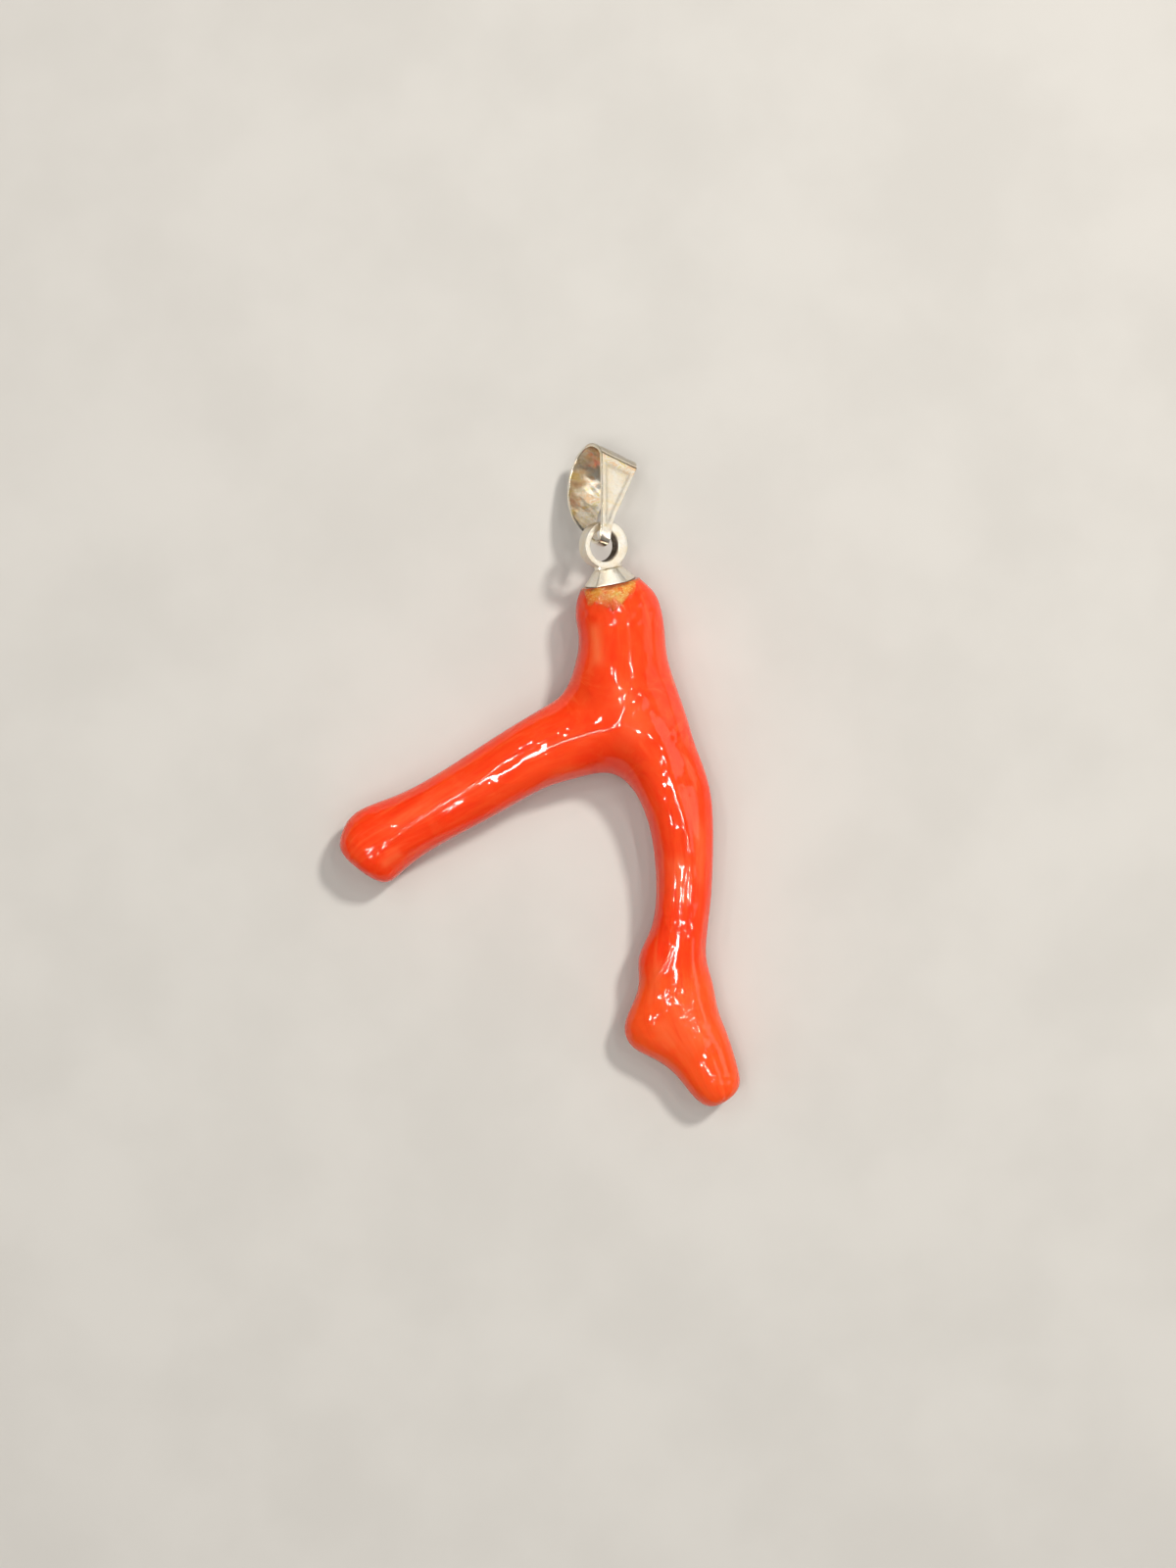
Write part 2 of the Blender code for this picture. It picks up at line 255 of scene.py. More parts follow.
def handling_marks():
    """Fine scratches and smears from wear: thin stretched noise in two directions, and a broad blur.
    Height is for a bump, Roughening is added to the roughness."""
    tree, put_in, put_out = group_of(
        "handling_marks", {"Vector": None, "Scale": 1.0, "Strength": 1.0}, ("Height", "Roughening")
    )
    size = put_in.outputs["Scale"]
    values = {0: put_in.outputs["Vector"], "Scale": size}
    vector = new_node(tree, "ShaderNodeVectorMath", values, operation="SCALE").outputs[0]
    flat = scaled(tree, vector, 900, 9000, 9000)
    steep = scaled(tree, vector, 8000, 800, 8000)
    hair = maths(tree, "MAXIMUM", noise(tree, flat, 1.0, 3), noise(tree, steep, 1.0, 3))
    scratch = between(tree, hair, 0.62, 0.72)
    smear = between(tree, noise(tree, vector, 500.0, 3), 0.35, 0.7)
    strength = put_in.outputs["Strength"]
    tree.links.new(times(tree, scratch, strength), put_out.inputs["Height"])
    soiled = added(tree, times(tree, smear, 0.7), times(tree, scratch, 0.3))
    tree.links.new(times(tree, soiled, strength), put_out.inputs["Roughening"])
    return tree


MARKS = handling_marks()


def start_material(name):
    """A new material with its node tree, its Principled BSDF and the place in the object."""
    material = bpy.data.materials.new(name)
    material.use_nodes = True
    tree = material.node_tree
    shader = tree.nodes["Principled BSDF"]
    place = new_node(tree, "ShaderNodeTexCoord").outputs["Object"]
    return material, tree, shader, place


def marks_on(tree, place, scale, strength):
    """The handling marks' two outputs, the height and the roughening."""
    node = new_node(tree, "ShaderNodeGroup")
    node.node_tree = MARKS
    tree.links.new(place, node.inputs["Vector"])
    node.inputs["Scale"].default_value = scale
    node.inputs["Strength"].default_value = strength
    return node.outputs["Height"], node.outputs["Roughening"]


def attribute(tree, name):
    """A value that the mesh carries for every vertex."""
    return new_node(tree, "ShaderNodeAttribute", attribute_name=name)


def bumped(tree, shader, relief, strength, distance):
    """Puts a bump of this relief on the shader's normal."""
    values = {"Strength": strength, "Distance": distance, "Height": relief}
    tree.links.new(new_node(tree, "ShaderNodeBump", values).outputs[0], shader.inputs["Normal"])


def translucent(shader, weight, radius, scale):
    """Lets light under the surface: how much, how far for red, green and blue, and the distance."""
    shader.inputs["Subsurface Weight"].default_value = weight
    shader.inputs["Subsurface Radius"].default_value = radius
    shader.inputs["Subsurface Scale"].default_value = scale


def polished_coral():
    """Red coral: an orange red ground, paler and deeper streaks that follow the growth, cloudy pale
    patches, painted shade in the hollows, and a glassy polish with slight orange peel."""
    material, tree, shader, place = start_material("polished_coral")
    growth = attribute(tree, "growth").outputs["Vector"]
    fine = noise(tree, scaled(tree, growth, 5.0, 5.0, 0.22), 1.0, 4, 0.55, 0.4)
    broad = noise(tree, scaled(tree, growth, 1.6, 1.6, 0.11), 1.0, 3, 0.5, 0.8)
    cloud = noise(tree, place, 420.0, 4, 0.6)
    pale = attribute(tree, "pale").outputs["Fac"]
    painted_shade = attribute(tree, "painted_shade").outputs["Fac"]
    toe = attribute(tree, "toe").outputs["Fac"]
    ground = mixed(tree, toe, (0.93, 0.052, 0.006, 1), (0.96, 0.095, 0.012, 1))
    ground = mixed(tree, between(tree, broad, 0.38, 0.68, 0, 0.5), ground, (0.98, 0.095, 0.016, 1))
    ground = mixed(tree, between(tree, fine, 0.50, 0.74, 0, 0.4), ground, (1.0, 0.150, 0.040, 1))
    ground = mixed(tree, between(tree, fine, 0.48, 0.30, 0, 0.4), ground, (0.86, 0.030, 0.004, 1))
    ground = mixed(tree, between(tree, cloud, 0.55, 0.75, 0, 0.25), ground, (1.0, 0.140, 0.035, 1))
    streaked = times(tree, pale, between(tree, fine, 0.25, 0.65, 0.45, 1.0))
    ground = mixed(tree, streaked, ground, (1.0, 0.200, 0.065, 1))
    # Painted shade: a deeper red in the hollows and along the left arm's lower side.
    ground = mixed(tree, painted_shade, ground, (0.84, 0.018, 0.002, 1))
    tree.links.new(ground, shader.inputs["Base Color"])
    height, roughening = marks_on(tree, place, 0.8, 0.5)
    peel = noise(tree, place, 1700.0, 2)
    bumped(tree, shader, added(tree, times(tree, peel, 0.5), times(tree, height, 0.1)), 0.04, 0.0002)
    rough = added(tree, 0.045, times(tree, roughening, 0.08))
    tree.links.new(rough, shader.inputs["Roughness"])
    shader.inputs["IOR"].default_value = 1.49
    shader.inputs["Specular IOR Level"].default_value = 0.42
    translucent(shader, 0.6, (1.0, 0.22, 0.07), 0.0015)
    return material


def silver(name, warm, cast, wear, rough):
    """Silver: a bright warm white with peach, yellow and grey patches, fine cast grain, dark brown where
    the tarnish_and_painted_shade attribute says (tarnished silver, and painted shade), and wear on top.
    Warm is how strong the peach and yellow are away from the warm_tone_and_reflection attribute, which
    adds a painted warm reflection; cast how strong the grain is."""
    material, tree, shader, place = start_material(name)
    grain = noise(tree, place, 6500.0, 3, 0.6)
    patch = noise(tree, place, 620.0, 3, 0.6, 0.6)
    other = noise(tree, scaled(tree, place, 1.0, 1.7, 0.8), 880.0, 4, 0.65, 1.0)
    colour = mixed(tree, between(tree, patch, 0.38, 0.66), (0.96, 0.93, 0.86, 1), (0.95, 0.86, 0.70, 1))
    # Peach and yellow: the silver's own warm tone, and a painted warm reflection where the bail's attribute
    # places it.
    warm_tone_and_reflection = added(tree, attribute(tree, "warm_tone_and_reflection").outputs["Fac"], warm)
    peach = times(tree, between(tree, other, 0.50, 0.64), warm_tone_and_reflection)
    gold = times(tree, between(tree, other, 0.50, 0.36), warm_tone_and_reflection)
    colour = mixed(tree, peach, colour, (0.96, 0.70, 0.46, 1))
    colour = mixed(tree, gold, colour, (0.90, 0.74, 0.34, 1))
    grey = between(tree, grain, 0.55, 0.30, 0.0, 0.30 * cast)
    colour = mixed(tree, grey, colour, (0.55, 0.52, 0.46, 1))
    # Dark brown: tarnished silver, with painted shade in the eye's hole and the bail's loop, crease and
    # border, and a painted reflection on the bail's fold.
    tarnish_and_shade = attribute(tree, "tarnish_and_painted_shade").outputs["Fac"]
    tarnish_and_shade = times(tree, tarnish_and_shade, between(tree, added(tree, grain, other), 0.7, 1.2, 0.8, 1.0))
    colour = mixed(tree, tarnish_and_shade, colour, (0.060, 0.038, 0.018, 1))
    tree.links.new(colour, shader.inputs["Base Color"])
    height, roughening = marks_on(tree, place, 1.0, wear)
    pits = between(tree, grain, 0.30, 0.60)
    bumped(tree, shader, added(tree, times(tree, pits, cast), times(tree, height, -0.4)), 0.22, 0.00004)
    worn = added(tree, rough, times(tree, roughening, 0.14))
    tree.links.new(added(tree, worn, times(tree, tarnish_and_shade, 0.2)), shader.inputs["Roughness"])
    shader.inputs["Metallic"].default_value = 1.0
    return material


def dried_glue():
    """Amber glue: golden brown flakes with pale broken edges, glossy, redder where it runs out thin and
    darkened by painted shade where it lies close under the cap."""
    material, tree, shader, place = start_material("dried_glue")
    turned = noise(tree, place, 900.0, 3, 0.6)
    values = {"Vector": place, "Scale": 1700.0, "Detail": 3.0}
    bent = new_node(tree, "ShaderNodeTexNoise", values).outputs["Color"]
    strayed = new_node(tree, "ShaderNodeVectorMath", {0: bent, "Scale": 0.0007}, operation="SCALE")
    values = {0: place, 1: strayed.outputs[0]}
    wandering = new_node(tree, "ShaderNodeVectorMath", values, operation="ADD").outputs[0]
    values = {"Vector": wandering, "Scale": 1900.0}
    cells = new_node(tree, "ShaderNodeTexVoronoi", values, feature="DISTANCE_TO_EDGE")
    flakes = between(tree, added(tree, cells.outputs["Distance"], times(tree, turned, -0.16)), -0.04, 0.03)
    cracks = maths(tree, "SUBTRACT", 1.0, flakes)
    stretched = scaled(tree, wandering, 1.0, 1.8, 1.0)
    flecks = between(tree, noise(tree, stretched, 2900.0, 4, 0.7, 0.8), 0.53, 0.62)
    cloud = noise(tree, place, 1400.0, 4, 0.65)
    colour = mixed(tree, between(tree, cloud, 0.40, 0.62), (0.80, 0.13, 0.012, 1), (0.86, 0.30, 0.040, 1))
    colour = mixed(tree, between(tree, turned, 0.50, 0.64, 0.0, 0.85), colour, (0.78, 0.38, 0.06, 1))
    colour = mixed(tree, times(tree, cracks, 0.18), colour, (0.98, 0.58, 0.16, 1))
    colour = mixed(tree, times(tree, flecks, 0.6), colour, (1.0, 0.72, 0.30, 1))
    # Painted shade under the cap's rim: a dark brown red.
    painted_cap_shade = attribute(tree, "painted_cap_shade").outputs["Fac"]
    colour = mixed(tree, painted_cap_shade, colour, (0.30, 0.050, 0.008, 1))
    thin = attribute(tree, "thin").outputs["Fac"]
    reddened = times(tree, thin, maths(tree, "SUBTRACT", 1.0, times(tree, flecks, 0.4)))
    colour = mixed(tree, reddened, colour, (0.98, 0.115, 0.012, 1))
    tree.links.new(colour, shader.inputs["Base Color"])
    bumped(tree, shader, added(tree, times(tree, flakes, 0.3), cloud), 0.45, 0.00012)
    shader.inputs["Roughness"].default_value = 0.10
    translucent(shader, 0.3, (1.0, 0.4, 0.1), 0.0006)
    return material


# The coral.

# Sections: the place of the middle on the table, the reach to either side, the thickness from bottom
# to top, and how far it clears the table.
STEM = np.array([
    (6.5, 19.5, 2.3, 2.3, 4.6, 2.3),
    (6.75, 17.9, 3.5, 3.4, 6.0, 1.2),
    (7.2, 16.5, 4.15, 4.2, 6.6, 0.6),
    (7.75, 14.6, 4.2, 4.22, 6.9, 0.4),
    (7.85, 12.2, 4.25, 4.2, 7.5, 0.2),
    (7.8, 10.1, 4.75, 4.7, 8.1, 0.0),
])
LEFT_BRANCH = np.array([
    (1.7, 2.9, 4.1, 3.5, 6.6, 0.7),
    (-1.1, 1.8, 3.55, 3.15, 6.1, 1.0),
    (-4.7, -0.3, 3.35, 3.2, 5.9, 1.0),
    (-8.4, -2.5, 3.18, 3.02, 5.7, 0.8),
    (-12.0, -4.5, 3.15, 2.9, 5.8, 0.4),
    (-14.8, -5.9, 3.6, 3.4, 5.85, 0.1),
    (-16.6, -6.9, 3.85, 3.95, 5.75, 0.0),
    (-17.95, -8.0, 2.75, 3.55, 4.9, 0.5),
    (-18.5, -8.7, 1.6, 1.85, 2.8, 1.5),
])
RIGHT_BRANCH = np.array([
    (11.7, 0.9, 3.5, 3.85, 6.5, 0.6),
    (13.0, -1.8, 3.4, 3.62, 6.1, 0.9),
    (13.6, -4.8, 3.02, 3.13, 5.8, 1.1),
    (13.9, -8.6, 2.8, 2.78, 5.3, 1.2),
    (13.7, -12.4, 2.5, 2.78, 5.1, 1.0),
    (13.6, -15.4, 2.9, 2.45, 5.1, 0.8),
    (13.4, -17.9, 4.38, 2.53, 5.3, 0.6),
    (13.5, -20.3, 3.65, 3.18, 5.5, 0.4),
    (13.9, -22.4, 6.5, 3.15, 5.7, 0.1),
    (14.6, -24.2, 6.55, 2.87, 5.6, 0.0),
    (15.2, -25.7, 4.85, 2.9, 5.3, 0.0),
    (15.9, -27.5, 3.45, 2.88, 4.9, 0.1),
    (16.55, -29.4, 2.72, 2.75, 4.9, 0.2),
    (17.2, -31.05, 2.15, 2.55, 4.2, 0.6),
    (17.8, -31.95, 1.15, 1.45, 2.4, 1.5),
])
SADDLE = (8.0, 4.6, 9.2, -0.4)
ARMPIT = (1.2, 8.5)
FLANK = (15.35, 5.4)
CROTCH = (6.7, 0.3)
LEFT_SHOULDER = (4.2, 6.6, 6.9, 0.9)
RIGHT_SHOULDER = (12.3, 4.9, 7.9, 0.7)
CROTCH_LIP = (7.1, 1.8, 5.7, 0.9)
FORK_HEIGHT = 3.9
RING_POINTS = 8
SWELL = 3 / (2 + math.cos(2 * math.pi / RING_POINTS))
CORAL_FINENESS = 4

# Crests that the polish left standing: the line on the table, its height and its half width.
CRESTS = (
    (
        ((11.5, 4.2), (12.39, 0.61), (13.14, -2.21), (13.89, -4.56), (14.27, -6.62), (14.46, -10.66)),
        0.16, 0.55,
    ),
    (((11.36, 9.53), (12.2, 7.47), (12.95, 4.84), (13.61, 2.49)), 0.09, 0.35),
    (((-16.2, -7.6), (-12.41, -4.75), (-9.12, -2.49), (-5.83, -0.52), (-3.48, 1.27)), 0.14, 0.42),
    (((-12.13, -5.5), (-9.59, -3.99), (-6.49, -2.02)), 0.07, 0.28),
    (((-4.89, -0.8), (-3.77, -0.71), (-2.45, -0.52)), 0.06, 0.25),
    (((-0.67, 2.77), (0.74, 3.71), (2.34, 4.55)), 0.09, 0.35),
    (((2.62, 5.59), (3.56, 6.34)), 0.05, 0.3),
    (((6.75, 3.7), (7.12, 4.63), (7.95, 6.55), (8.72, 8.57), (8.95, 9.3)), 0.13, 0.62),
    (((8.92, 4.84), (9.38, 6.53), (9.95, 8.31)), 0.10, 0.35),
    (((4.41, 8.88), (5.06, 7.47)), 0.06, 0.3),
    (((10.14, 11.88), (10.51, 10.28)), 0.05, 0.35),
    (((11.73, -15.64), (12.48, -16.58), (11.64, -18.65), (10.7, -20.25)), 0.08, 0.22),
    (((14.83, -12.54), (14.65, -14.42), (14.46, -15.64)), 0.08, 0.3),
    (((11.92, -13.76), (12.3, -14.89)), 0.06, 0.25),
)
# Small raised grains that the polish left, on the stem's top, the left tip, the shin, the heel and the
# toes: their height, their half width, and their places on the table.
GRAINS = (
    (0.085, 0.30, ((4.59, 15.58), (5.44, 15.11), (7.79, 16.43), (8.41, 17.27), (9.58, 16.61), (9.58, 15.77),
                   (8.64, 15.39), (9.3, 14.82))),
    (0.080, 0.28, ((-17.06, -7.23), (-16.58, -7.99), (-15.92, -8.46), (-15.35, -7.13), (-15.83, -7.7))),
    (0.080, 0.30, ((12.06, -13.46), (12.62, -14.12), (13.28, -14.5), (13.95, -14.31), (14.51, -13.55))),
    (0.070, 0.26, ((9.23, -23.49), (9.7, -24.53), (10.36, -25.38), (10.74, -24.15), (12.82, -20.84),
                   (13.39, -22.07), (13.95, -23.3), (14.52, -22.55))),
    (0.060, 0.22, ((16.45, -29.07), (17.02, -28.97), (17.59, -29.07), (18.16, -29.16), (16.64, -29.83),
                   (17.21, -29.92), (17.78, -30.02), (18.25, -29.92))),
)
# Paler streaks: the line, its strength and its half width.
PALE_STREAKS = (
    (((4.97, 14.98), (5.35, 12.82), (5.63, 10.1)), 0.8, 0.55),
    (((12.95, -7.19), (13.33, -10.19), (13.71, -13.01)), 0.6, 0.9),
    (((15.02, -3.62), (15.4, -7.38), (15.02, -11.6)), 0.5, 0.5),
    (((11.64, -17.24), (11.08, -19.59), (10.89, -22.41)), 0.4, 0.5),
    (((12.95, -19.59), (13.89, -23.35), (15.77, -27.1)), 0.5, 1.6),
    (((11.26, -23.35), (12.95, -26.63)), 0.5, 0.9),
    (((-16.17, -6.44), (-11.47, -3.15), (-4.89, 0.14)), 0.35, 0.8),
    (((-6.77, -5.03), (-1.14, -2.21), (3.56, 0.14)), 0.3, 0.6),
    (((-15.7, -8.78), (-13.35, -7.19)), 0.5, 0.5),
    (((7.0, 9.5), (8.6, 6.2), (9.6, 2.6)), 0.45, 1.3),
)
# Painted shade: a deeper red in the fork's crotch, down the stem's middle and along the left arm's
# lower side.
PAINTED_SHADE_PLACES = (
    (((2.62, 1.08), (6.38, 1.55), (9.2, 0.14)), 0.35, 0.9),
    (((6.9, 13.8), (6.7, 10.5)), 0.25, 1.0),
    (((-14.0, -8.0), (-6.0, -4.2), (1.0, -0.6)), 0.2, 0.6),
)


# Waves of low relief. Each has its height, then how often it repeats: round a branch and along it.
GROWTH_WAVES = (
    (0.018, 3, 0.21), (0.015, 4, -0.17), (0.014, 5, 0.26), (0.010, 7, -0.3), (0.007, 9, 0.35),
    (0.005, 13, 0.4), (0.004, 17, -0.5), (0.010, 2, 0.55),
)
BRANCH_WAVES = ((0.022, 0, 0.8), (0.009, 1, 1.5), (0.005, 2, -2.1), (0.004, 3, 2.9))
# Waves that repeat along X, Y and Z.
LUMPS = ((0.014, 2.1, 1.7, 1.1), (0.014, -1.5, 2.6, 0.7), (0.011, 3.4, -1.2, 2.0), (0.009, 2.9, 3.3, -1.6))
PEEL = ((0.0035, 5.1, 4.3, 2), (0.0035, -4.4, 6.2, 1), (0.003, 7.9, -2.9, 3), (0.003, 3.3, 8.4, -2))
CHIPS = ((0.016, 3.1, 4.3, 2), (0.014, -4.4, 3.2, 1), (0.012, 6.9, -4.9, 3))
FORK_MIDDLE = (8.0, 4.6)
CORE_HEIGHT = 3.7
SAWN_BELOW_RIM = 0.05
FORK_BLEND = 1.6


def sections_rings(sections, before, after):
    """Cage points round sections: middle + side * reach * cos(a) + up * half thickness * sin(a), for
    eight angles a, all swelled so that the smoothed surface has the reach. A section stands upright
    across the line between its neighbours."""
    places = np.vstack([before, sections[:, :2], after])
    heading = unit(places[2:] - places[:-2])
    side = np.stack([-heading[:, 1], heading[:, 0], np.zeros(len(sections))], -1)
    middle = np.column_stack([sections[:, :2], sections[:, 5] + sections[:, 4] / 2])
    angle = 2 * math.pi * np.arange(RING_POINTS) / RING_POINTS
    reach = np.where(np.cos(angle) > 1e-9, sections[:, 3:4], sections[:, 2:3]) * np.cos(angle)
    rise = sections[:, 4:5] / 2 * np.sin(angle)
    offset = reach[..., None] * side[:, None] + rise[..., None] * np.array([0, 0, 1.0])
    return middle[:, None] + offset * SWELL


def coral_cage():
    """The coarse cage: rings carried along the stem and both branches, and between them the fork's own
    points. Quads join ring to ring, and a face of eight closes each end."""
    stem_before = STEM[0, :2] - np.array([math.sin(CAP_LEAN), -math.cos(CAP_LEAN)])
    stem = sections_rings(STEM, stem_before, SADDLE[:2])
    left = sections_rings(LEFT_BRANCH, SADDLE[:2], LEFT_BRANCH[-1, :2])
    right = sections_rings(RIGHT_BRANCH, SADDLE[:2], RIGHT_BRANCH[-1, :2])
    sides = [(*place, FORK_HEIGHT) for place in (FLANK, ARMPIT, CROTCH)]
    stacked = (SADDLE, LEFT_SHOULDER, RIGHT_SHOULDER, CROTCH_LIP)
    pairs = [(x, y, z) for x, y, *heights in stacked for z in heights]
    fork = np.array(sides + pairs)
    points = np.vstack([stem.reshape(-1, 3), fork, left.reshape(-1, 3), right.reshape(-1, 3)])

    first_fork = len(STEM) * RING_POINTS
    flank, armpit, crotch, top, below, left_top, left_below, right_top, right_below, lip_top, lip_below = (
        first_fork + np.arange(len(fork))
    )
    first_left = first_fork + len(fork)
    first_right = first_left + len(LEFT_BRANCH) * RING_POINTS

    def rings(start, count):
        return list(start + np.arange(count * RING_POINTS).reshape(count, RING_POINTS))

    stem_rings = rings(0, len(STEM))
    left_rings, right_rings = rings(first_left, len(LEFT_BRANCH)), rings(first_right, len(RIGHT_BRANCH))
    around = np.array([flank, right_top, top, left_top, armpit, left_below, below, right_below])
    to_left = np.array([crotch, lip_top, top, left_top, armpit, left_below, below, lip_below])
    to_right = np.array([flank, right_top, top, lip_top, crotch, lip_below, below, right_below])
    runs = (stem_rings + [around], [to_left] + left_rings, [to_right] + right_rings)
    joined = [
        np.stack([a, np.roll(a, -1), np.roll(b, -1), b], -1)
        for run in runs
        for a, b in zip(run, run[1:])
    ]
    ends = [stem_rings[0][::-1], left_rings[-1], right_rings[-1]]
    return points, np.vstack(joined).tolist() + [end.tolist() for end in ends]


def smoothed(points, faces, levels):
    """The cage's Subdivision Surface, as points, normals and quads."""
    mesh = bpy.data.meshes.new("cage")
    mesh.from_pydata(points.tolist(), [], faces)
    cage = bpy.data.objects.new("cage", mesh)
    bpy.context.scene.collection.objects.link(cage)
    modifier = cage.modifiers.new("smooth", "SUBSURF")
    modifier.levels = modifier.render_levels = levels
    made = cage.evaluated_get(bpy.context.evaluated_depsgraph_get()).to_mesh()
    co = np.empty(len(made.vertices) * 3)
    made.vertices.foreach_get("co", co)
    normals = np.empty(len(made.vertices) * 3)
    made.vertices.foreach_get("normal", normals)
    corners = np.empty(len(made.loops), int)
    made.loops.foreach_get("vertex_index", corners)
    cage.to_mesh_clear()
    bpy.data.objects.remove(cage)
    bpy.data.meshes.remove(mesh)
    return co.reshape(-1, 3), normals.reshape(-1, 3), corners.reshape(-1, 4)


def growth_places(points):
    """Where each point is on the branch it belongs to: round it, and along it from the fork. Each
    branch's share fades over a few millimetres at the fork, so that nothing jumps there."""
    found = []
    for sections in (STEM[::-1], LEFT_BRANCH, RIGHT_BRANCH):
        line = b_spline(np.vstack([FORK_MIDDLE, sections[:, :2]]), 12, closed=False)
        gap = np.linalg.norm(points[:, None, :2] - line[None], axis=2)
        nearest = gap.argmin(1)
        heading = unit(np.gradient(line, axis=0))[nearest]
        offset = points[:, :2] - line[nearest]
        across = offset[:, 0] * -heading[:, 1] + offset[:, 1] * heading[:, 0]
        run = np.concatenate([[0], np.cumsum(np.linalg.norm(np.diff(line, axis=0), axis=1))])[nearest]
        run = run + np.einsum("ij,ij->i", offset, heading)
        angle = np.arctan2(points[:, 2] - CORE_HEIGHT, across)
        found.append((gap.min(1), run, angle))
    gaps = np.stack([f[0] for f in found])
    shares = np.exp(-((gaps - gaps.min(0)) / FORK_BLEND) ** 2)
    return found, shares / shares.sum(0)


def add_coral(material):
    """The coral: the smoothed cage, moved along its normals by the low relief that the polish left.
    Ripples run along each branch, a few round it and many fine ones. Crests and grains are drawn on
    top, each falling off as exp(-(gap / half width)^2)."""
    rng = np.random.default_rng(11)
    points, normals, quads = smoothed(*coral_cage(), CORAL_FINENESS)
    found, shares = growth_places(points)
    relief = np.zeros(len(points))
    growth = np.zeros((len(points), 3))
    for index, ((_, run, angle), share) in enumerate(zip(found, shares)):
        waves = GROWTH_WAVES + BRANCH_WAVES if index else GROWTH_WAVES
        relief += share * ripples(rng, waves, angle, run) * smoothstep(0.0, 0.5, np.abs(normals[:, 2]))
        growth += share[:, None] * np.stack([np.cos(angle), np.sin(angle), run], -1)
    upper = smoothstep(0.1, 0.6, normals[:, 2])
    flat = points[:, :2]
    for line, height, width in CRESTS:
        relief += height * upper * drawn(flat, line, width)
    for height, width, places in GRAINS:
        for place in places:
            relief += height * upper * np.exp(-(((flat - place) / width) ** 2).sum(1))
    x, y, z = points.T
    foot = smoothstep(-17.5, -20.5, y)
    sole = foot * smoothstep(-27.5, -25.5, y)
    tip = smoothstep(-14.0, -16.5, x)
    top = smoothstep(14.9, 16.2, y)
    fork = np.exp(-((x - 8.5) ** 2 + (y - 6.0) ** 2) / 12.0)
    lumps = ripples(rng, LUMPS, x, y, z)
    peel = ripples(rng, PEEL, x, y, z)
    chips = ripples(rng, CHIPS, x, y, z)
    relief += lumps * np.maximum(0.6 * sole, np.maximum(0.5 * tip, top)) * upper
    relief += peel * (0.35 + 0.9 * np.maximum.reduce([sole, tip, top, fork])) * upper
    relief += chips * top * upper
    points = points + normals * relief[:, None]
    points[:, 2] = np.maximum(points[:, 2], 0.0)

    # The end under the cap is sawn flat: what stands past the plane comes down on it.
    sawn = cap_frame()
    above = (points - sawn[:3, 3]) @ sawn[:3, 2] + SAWN_BELOW_RIM
    points = points - np.maximum(above, 0)[:, None] * sawn[:3, 2]

    coral = add_piece("coral", points, quads, "pendant", material)
    add_attribute(coral.data, "growth", growth)
    # The pale streaks, and the painted shade, as values on the vertices.
    for name, strokes in (("pale", PALE_STREAKS), ("painted_shade", PAINTED_SHADE_PLACES)):
        layer = np.zeros(len(points))
        for line, strength, width in strokes:
            layer = np.maximum(layer, strength * upper * drawn(flat, line, width))
        add_attribute(coral.data, name, layer)
    add_attribute(coral.data, "toe", foot)
    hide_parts("coral_stem", "coral_left_branch", "coral_right_branch")
    return coral


# The cap.

CAP_X, CAP_Y, CAP_Z = 6.68, 18.73, 4.67
CAP_LEAN = math.radians(11)
CAP_PITCH = math.radians(11)
CAP_RIM_RADIUS = 2.6
CAP_TOP_RADIUS = 1.35
CAP_HEIGHT = 1.42
CAP_WALL = 0.45
EYE_RADIUS = 2.3
EYE_HOLE_RADIUS = 1.53
EYE_HOLE_SHIFT = -0.25
EYE_DEPTH = 1.55
EYE_HEIGHT = 3.67
EYE_TURN = math.radians(24)
FOOT_WIDTH = 2.7
FOOT_DEPTH = 1.1
FOOT_HEIGHT = 0.5
FACETS = 5
FILED_SHARE = 0.55
CONE_COLUMNS = 144
RING_COLUMNS = 160
FOOT_ROWS, FOOT_COLUMNS = 24, 64
DENTS_IN_CONE = ((0.012, 3, 2.4), (0.01, 7, -3.1), (0.006, 11, 4.0))
DENTS_IN_RING = ((0.012, 3), (0.01, 5), (0.007, 8))


def cap_frame():
    """The cap's frame: X off the table, Y to the right, Z along the cap away from the coral."""
    right = np.array([math.cos(CAP_LEAN), math.sin(CAP_LEAN), 0])
    level = np.array([-math.sin(CAP_LEAN), math.cos(CAP_LEAN), 0])
    along = level * math.cos(CAP_PITCH) + np.array([0, 0, math.sin(CAP_PITCH)])
    return axes_at((CAP_X, CAP_Y, CAP_Z), np.cross(right, along), right)


def eye_frame():
    """The eye's frame, at its middle: X to the right, Y along the cap, Z through the hole."""
    upright = np.array([(0, 0, 1, 0), (1, 0, 0, 0), (0, 1, 0, 0), (0, 0, 0, 1.0)])
    return cap_frame() @ shift(0, 0, EYE_HEIGHT) @ upright @ turn(1, EYE_TURN)


def rounded_outline(corners, radius, steps):
    """A closed outline with its corners rounded: near each corner the points lie on the parabola from
    one side to the other, (1-t)^2 a + 2t(1-t) corner + t^2 b."""
    corners = np.asarray(corners, float)
    before, after = np.roll(corners, 1, 0) - corners, np.roll(corners, -1, 0) - corners
    a = corners + unit(before) * radius
    b = corners + unit(after) * radius
    t = np.linspace(0, 1, steps)[None, :, None]
    return ((1 - t) ** 2 * a[:, None] + 2 * t * (1 - t) * corners[:, None] + t**2 * b[:, None]).reshape(-1, 2)


